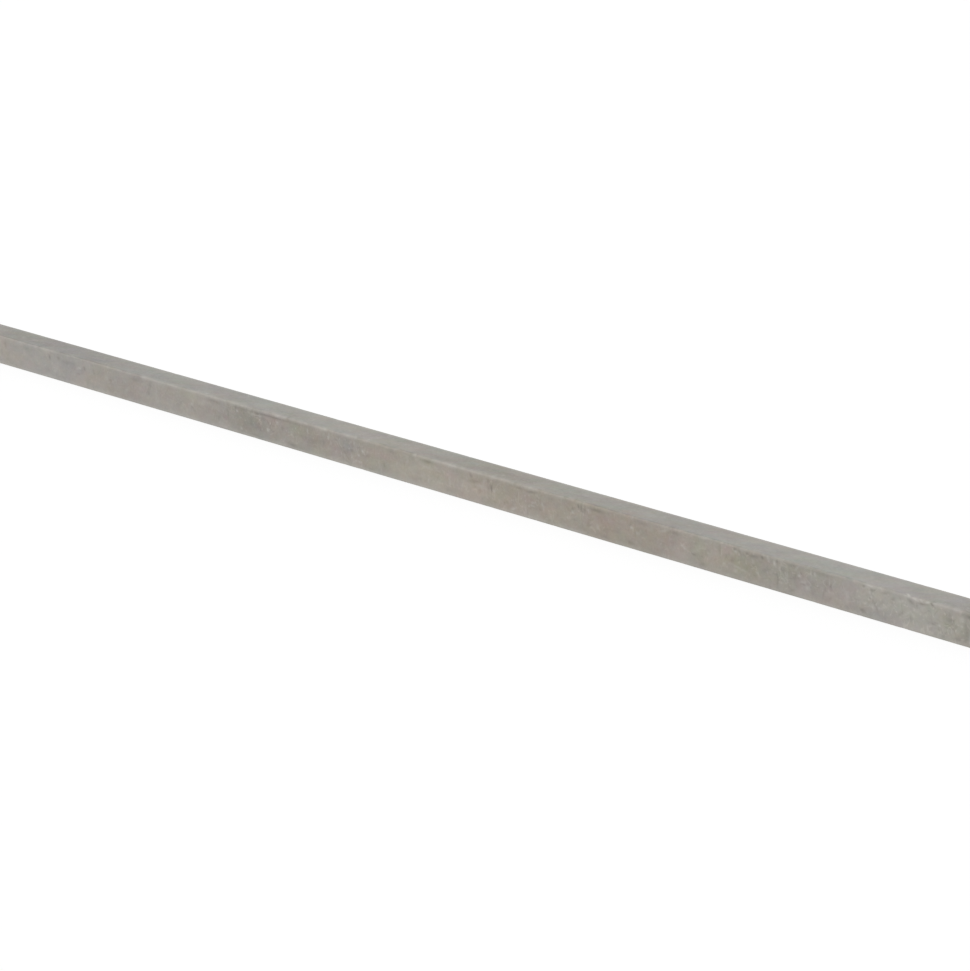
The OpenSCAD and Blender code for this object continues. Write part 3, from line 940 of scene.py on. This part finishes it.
def bar_mesh(surface):
    """Closed mesh of the bar: the drawn skin, and a grid over each sawn end."""
    points = surface.points()
    rings, columns, _ = points.shape
    wide = ARC_STEPS + FLAT_STEPS[TOP]
    high = ARC_STEPS + FLAT_STEPS[FRONT]
    vertices = points.reshape(-1, 3).tolist()
    faces = []
    uvs = []
    sawn = []
    x = surface.x
    u = np.append(surface.u, surface.u[0] + ROUND_LENGTH)
    filed = BAR_LENGTH / 2 - np.abs(x) < END_CHAMFER - ROUNDING_ERROR
    for r in range(rings - 1):
        middle = (x[r] + x[r + 1]) / 2
        strip = min(int((middle / BAR_LENGTH + 0.5) * STRIPS), STRIPS - 1)
        for c in range(columns):
            for ring, column in ((r, c), (r, c + 1), (r + 1, c + 1), (r + 1, c)):
                uvs.append(strip_place(strip, x[ring], u[column]))
            d = (c + 1) % columns
            faces.append((r * columns + c, r * columns + d,
                          (r + 1) * columns + d, (r + 1) * columns + c))
            sawn.append(int(filed[r] or filed[r + 1]))
    for end, ring in enumerate((0, rings - 1)):
        first = ring * columns
        inward = 1 - 2 * end
        grid = {}
        for i in range(wide + 1):
            grid[i, 0] = first + i
            grid[i, high] = first + 2 * wide + high - i
        for j in range(high + 1):
            grid[wide, j] = first + wide + j
            grid[0, j] = first + (columns - j) % columns
        for i in range(1, wide):
            for j in range(1, high):
                y = points[ring, i, 1]
                z = points[ring, wide + j, 2]
                grid[i, j] = len(vertices)
                vertices.append([x[ring] + inward * saw_mark(y, z), y, z])
        for i in range(wide):
            for j in range(high):
                corners = [(i, j), (i + 1, j), (i + 1, j + 1), (i, j + 1)][::-inward]
                faces.append(tuple(grid[corner] for corner in corners))
                uvs.extend(end_place(end, k / wide, m / high) for k, m in corners)
                sawn.append(1)
    mesh = bpy.data.meshes.new("drawn_bar")
    mesh.from_pydata((np.array(vertices) * MM + np.array(BAR_MIDDLE)).tolist(), [], faces)
    mesh.uv_layers.new(name="OFBake").data.foreach_set("uv", np.array(uvs).ravel())
    mesh.polygons.foreach_set("material_index", sawn)
    mesh.polygons.foreach_set("use_smooth", [True] * len(faces))
    ends = np.zeros(len(vertices) - rings * columns)
    for name, values in surface.layers.items():
        attribute = mesh.attributes.new(name, "FLOAT", "POINT")
        attribute.data.foreach_set("value", np.append(values.ravel(), ends))
    mesh.set_sharp_from_angle(angle=math.radians(30))
    return mesh


class Nodes:
    """Adds nodes to one node tree. Each call gives back an output of the new node."""

    def __init__(self, tree):
        self.tree = tree
        tree.nodes.clear()

    def add(self, kind, inputs=None, output=0, **settings):
        node = self.tree.nodes.new(kind)
        for name, value in settings.items():
            setattr(node, name, value)
        for name, value in (inputs or {}).items():
            if isinstance(value, bpy.types.NodeSocket):
                self.tree.links.new(value, node.inputs[name])
            else:
                node.inputs[name].default_value = value
        return node.outputs[output] if node.outputs else None

    def math(self, operation, *values, **settings):
        return self.add("ShaderNodeMath", dict(enumerate(values)), operation=operation, **settings)

    def vector(self, operation, *values):
        return self.add("ShaderNodeVectorMath", dict(enumerate(values)), operation=operation)

    def scaled(self, vector, factor):
        return self.add("ShaderNodeVectorMath", {0: vector, "Scale": factor}, operation="SCALE")

    def mixed(self, share, first, second):
        """Colour that goes from the first to the second as the share goes from 0 to 1."""
        inputs = {"Factor": share, 6: first, 7: second}
        return self.add("ShaderNodeMix", inputs, output=2, data_type="RGBA")

    def ramp(self, value, low, high, start=0.0, end=1.0):
        """Eases from start to end while the value goes from low to high."""
        inputs = {"Value": value, "From Min": low, "From Max": high,
                  "To Min": start, "To Max": end}
        return self.add("ShaderNodeMapRange", inputs, interpolation_type="SMOOTHSTEP")

    def place(self):
        """The shaded point in the bar's own millimetres."""
        return self.scaled(self.add("ShaderNodeTexCoord", output="Object"), 1 / MM)

    def layer(self, name):
        return self.add("ShaderNodeAttribute", output="Fac", attribute_name=name)

    def seen(self):
        """1 for the camera and for reflections, and 0 for the light that falls on things."""
        path = self.add("ShaderNodeLightPath").node.outputs
        seen = self.math("ADD", path["Is Camera Ray"], path["Is Glossy Ray"])
        return self.math("ADD", seen, path["Is Transmission Ray"], use_clamp=True)

    def noise(self, place, size, stretch=(1, 1, 1), turn=(0, 0, 0), shift=0.0, detail=0.0,
              rough=0.5, twist=0.0):
        """Noise with spots about `size` across, longer where it is stretched."""
        turn = [math.radians(angle) for angle in turn]
        scale = [1 / (size * factor) for factor in stretch]
        place = self.add("ShaderNodeMapping", {
            "Vector": place, "Location": (shift, 0, 0), "Rotation": turn,
        })
        place = self.add("ShaderNodeMapping", {"Vector": place, "Scale": scale})
        return self.add("ShaderNodeTexNoise", {
            "Vector": place, "Scale": 1.0, "Detail": detail, "Roughness": rough,
            "Distortion": twist,
        })

    def swing(self, amount, *args, **settings):
        """Noise that swings to both sides of zero."""
        return self.math("MULTIPLY_ADD", self.noise(*args, **settings), amount, -amount / 2)

    def total(self, first, *others):
        for other in others:
            first = self.math("ADD", first, other)
        return first


def new_material(name):
    material = bpy.data.materials.new(name)
    material.use_nodes = True
    return material, Nodes(material.node_tree)


def flank_share(nodes, place):
    """Goes from 0 on the top face and the underside to 1 on the flanks."""
    parts = nodes.add("ShaderNodeSeparateXYZ", {0: place}).node.outputs
    across = nodes.math("ABSOLUTE", parts["Y"])
    height = nodes.math("ABSOLUTE", nodes.math("SUBTRACT", parts["Z"], BAR_SIDE / 2))
    wobble = nodes.swing(0.8, place, 1.4, (1.6, 1, 1), shift=150, detail=2.0)
    edge = nodes.total(nodes.math("SUBTRACT", across, height), wobble)
    return nodes.ramp(edge, -0.38, 0.02)


def scratches(nodes, place, size, shift):
    """Thin curly lines: 1 on a line and 0 off it, with lines in some places only."""
    lines = nodes.noise(place, size, shift=shift, twist=0.8)
    lines = nodes.math("ABSOLUTE", nodes.math("SUBTRACT", lines, 0.5))
    lines = nodes.ramp(lines, 0.005, 0.05, 1.0, 0.0)
    some = nodes.ramp(nodes.noise(place, 1.5 * size, shift=shift + 50), 0.52, 0.62)
    return nodes.math("MULTIPLY", lines, some)


def specks(nodes, place, size, shift):
    """Small round spots: 1 in a spot and 0 between them."""
    return nodes.ramp(nodes.noise(place, size, shift=shift), 0.66, 0.76)


def steel_tone(nodes, place, flank):
    """How light the skin is: broad mottle, smears and blots that show more on the top face and
    the underside, and flecks and fine scratches that show more on the flanks."""
    broad = nodes.swing(0.57, place, 22.0, (1.6, 1, 1), detail=2.0, rough=0.74)
    patch = nodes.swing(0.22, place, 2.75, (1.6, 1, 1), shift=10, detail=2.0, rough=0.74)
    smear = nodes.swing(0.14, place, 2.4, (2.6, 1, 1), SLANT, detail=2.0)
    blot = nodes.swing(0.10, place, 1.3, (1.3, 1, 1), shift=20, detail=2.0)
    clearer = nodes.math("MULTIPLY_ADD", flank, -0.35, 1.35)
    smudges = nodes.math("MULTIPLY", nodes.total(smear, blot), clearer)
    fleck = nodes.swing(0.17, place, 0.45, shift=40, detail=1.0)
    sharp = nodes.total(*[
        nodes.math("MULTIPLY", pattern(nodes, place, size, shift), amount)
        for pattern, size, shift, amount in (
            (scratches, 2.0, 60, 0.09),
            (specks, 0.8, 70, 0.08),
            (scratches, 2.4, 80, -0.05),
            (specks, 0.9, 90, -0.03),
        )
    ])
    sharp = nodes.math("MULTIPLY", sharp, nodes.math("ADD", nodes.layer("scuffed"), 0.7))
    rougher = nodes.math("MULTIPLY_ADD", flank, 0.3, 0.7)
    fine = nodes.math("MULTIPLY", nodes.total(fleck, sharp), rougher)
    return nodes.total(1.0, broad, patch, smudges, fine, nodes.layer("lighter"))


def patches(nodes, place, size, amount, shift):
    """Stains with fairly firm edges, to both sides of zero."""
    noise = nodes.noise(place, size, (1.7, 1, 1), SLANT, shift, detail=3.0, rough=0.6)
    return nodes.ramp(noise, 0.38, 0.62, -amount, amount)


def steel_tint(nodes, place, flank):
    """How warm and how pink the skin is, as an amount to add to each part of the colour."""
    warm = nodes.total(
        patches(nodes, place, 16.0, 0.014, 100),
        patches(nodes, place, 4.0, 0.007, 110),
        patches(nodes, place, 1.2, 0.009, 115),
        nodes.layer("warmer"),
    )
    pink = nodes.total(
        patches(nodes, place, 12.0, 0.010, 120),
        patches(nodes, place, 3.2, 0.008, 130),
        patches(nodes, place, 1.0, 0.012, 140),
        nodes.layer("pinker"),
    )
    warm = nodes.math("MULTIPLY", warm, nodes.math("MULTIPLY_ADD", flank, -0.2, 1.2))
    pink = nodes.math("MULTIPLY", pink, nodes.math("MULTIPLY_ADD", flank, -0.5, 1.5))
    return nodes.vector("ADD", nodes.scaled(WARMER, warm), nodes.scaled(PINKER, pink))


def metal_surface(nodes, colour, rough, height, strength, distance):
    """Bare metal with a fine bump, as the surface of the material."""
    bump = {"Height": height, "Strength": strength, "Distance": distance}
    shader = nodes.add("ShaderNodeBsdfPrincipled", {
        "Base Color": colour,
        "Metallic": 1.0,
        "Roughness": rough,
        "Normal": nodes.add("ShaderNodeBump", bump),
    })
    nodes.add("ShaderNodeOutputMaterial", {"Surface": shader})


def drawn_steel():
    """Dull drawn stainless steel: mottled, warmer and painted lighter on the flanks, bare where it
    is rubbed, with a painted highlight along the corners and painted shade at the top front
    corner.
    """
    material, nodes = new_material("drawn stainless")
    place = nodes.place()
    flank = flank_share(nodes, place)
    tone = steel_tone(nodes, place, flank)
    # The flanks' lighter grey is painted light that makes up for the dimmer light they mirror
    colour = nodes.mixed(flank, TOP_GREY, FLANK_GREY)
    tint = nodes.vector("ADD", steel_tint(nodes, place, flank), tone)
    colour = nodes.vector("MULTIPLY", colour, tint)
    # Grime, and the painted shade on and under the top front corner
    colour = nodes.mixed(nodes.layer("grime"), colour, GRIME_AND_SHADE_GREY)
    # Bare metal, and the painted highlight along the corners
    colour = nodes.mixed(nodes.layer("bare"), colour, BARE_AND_HIGHLIGHT_GREY)

    lines = nodes.noise(place, 0.22, (60, 1, 1), detail=1.0)
    grain = nodes.noise(place, 0.5, detail=3.0, rough=0.7)
    rough = nodes.math("MULTIPLY_ADD", grain, 0.2, 0.36)
    height = nodes.math("MULTIPLY_ADD", lines, 0.5, grain)
    metal_surface(nodes, colour, rough, height, strength=0.5, distance=0.00001)
    return material


def sawn_steel():
    """Sawn and filed ends: brighter bare steel with fine bowed saw lines."""
    material, nodes = new_material("sawn stainless")
    place = nodes.place()
    from_middle = nodes.math("ABSOLUTE", nodes.add("ShaderNodeSeparateXYZ", {0: place}))
    flat = nodes.ramp(from_middle, BAR_LENGTH / 2 - 0.1, BAR_LENGTH / 2 - 0.04)
    lines = nodes.swing(1.0, place, 0.12, (1, 1, 30), detail=2.0)
    lines = nodes.math("MULTIPLY", lines, flat)
    shade = nodes.math("MULTIPLY_ADD", lines, 0.5, 1.0)
    colour = nodes.scaled(SAWN_GREY, shade)
    rough = nodes.math("MULTIPLY_ADD", lines, 0.2, 0.36)
    metal_surface(nodes, colour, rough, lines, strength=0.6, distance=0.00002)
    return material


def pale_floor():
    """White where the camera and reflections see it, but for the bar's soft shadow. It lights the
    bar as a pale grey floor does."""
    material, nodes = new_material("pale floor")
    lit = nodes.add("ShaderNodeBsdfDiffuse", {"Color": FLOOR_GREY})
    dim = nodes.add("ShaderNodeBsdfDiffuse", {"Color": SEEN_FLOOR_GREY})
    glow = nodes.add("ShaderNodeEmission", {"Color": WHITE, "Strength": SEEN_FLOOR_GLOW})
    white = nodes.add("ShaderNodeAddShader", {0: dim, 1: glow})
    shader = nodes.add("ShaderNodeMixShader", {0: nodes.seen(), 1: lit, 2: white})
    nodes.add("ShaderNodeOutputMaterial", {"Surface": shader})
    return material


def add_object(name, data):
    item = bpy.data.objects.new(name, data)
    bpy.context.scene.collection.objects.link(item)
    return item


def add_bar():
    random = np.random.default_rng(SEED)
    surface = Surface()
    swell(surface, random)
    wear(surface, random)
    mark_by_hand(surface)
    bar = add_object("drawn_bar", bar_mesh(surface))
    bar.data.materials.append(drawn_steel())
    bar.data.materials.append(sawn_steel())
    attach(bar, "root")
    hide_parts("key_bar")


def add_floor():
    """Level floor that the bar lies on."""
    signs = ((-1, -1), (1, -1), (1, 1), (-1, 1))
    mesh = bpy.data.meshes.new("floor")
    mesh.from_pydata([(x * FLOOR_HALF, y * FLOOR_HALF, 0) for x, y in signs], [], [(0, 1, 2, 3)])
    mesh.materials.append(pale_floor())
    floor = add_object("floor", mesh)


def unit_vector(azimuth, elevation):
    """Direction from the bar towards a place at this azimuth and elevation."""
    a = math.radians(azimuth)
    e = math.radians(elevation)
    return Vector((math.sin(a) * math.cos(e), -math.cos(a) * math.cos(e), math.sin(e)))


def aim(item, place, target):
    """Puts a camera or lamp at a place and turns it to look at the target."""
    item.location = place
    item.rotation_euler = (target - place).to_track_quat("-Z", "Y").to_euler()


def add_lamp(name, azimuth, elevation, distance, size, watts):
    """Square soft lamp, aimed at the middle of the bar."""
    data = bpy.data.lights.new(name, "AREA")
    data.shape = "SQUARE"
    data.size = size
    data.energy = watts
    aim(add_object(name, data), unit_vector(azimuth, elevation) * distance, BAR_MIDDLE)


def add_light():
    """Even white surroundings, and a lamp at the left in front of the bar and one behind it."""
    world = bpy.data.worlds.new("world")
    world.use_nodes = True
    nodes = Nodes(world.node_tree)
    strength = nodes.math("MULTIPLY_ADD", nodes.seen(), 1 - SKY_LIGHT, SKY_LIGHT)
    sky = nodes.add("ShaderNodeBackground", {"Color": WHITE, "Strength": strength})
    nodes.add("ShaderNodeOutputWorld", {"Surface": sky})
    bpy.context.scene.world = world
    add_lamp("key_lamp", azimuth=-52, elevation=35, distance=1.5, size=2.0, watts=1.5)
    add_lamp("back_lamp", azimuth=-124, elevation=27, distance=1.5, size=1.5, watts=1.15)


def add_camera():
    data = bpy.data.cameras.new("camera")
    data.sensor_width = SENSOR_WIDTH
    data.lens = FOCAL_LENGTH_PIXELS * SENSOR_WIDTH / max(PHOTO_WIDTH, PHOTO_HEIGHT)
    data.clip_start = 0.01
    data.clip_end = 100
    camera = add_object("camera", data)
    back = unit_vector(VIEW_AZIMUTH, VIEW_ELEVATION)
    up = back.cross(Vector((0, 0, 1)).cross(back)).normalized()
    target = BAR_MIDDLE + Vector((VIEW_CENTRE_X, 0, 0)) + up * VIEW_LIFT
    aim(camera, target + back * VIEW_DISTANCE, target)
    bpy.context.scene.camera = camera


bpy.context.scene.view_settings.view_transform = "Standard"
add_camera()
add_bar()
add_floor()
add_light()
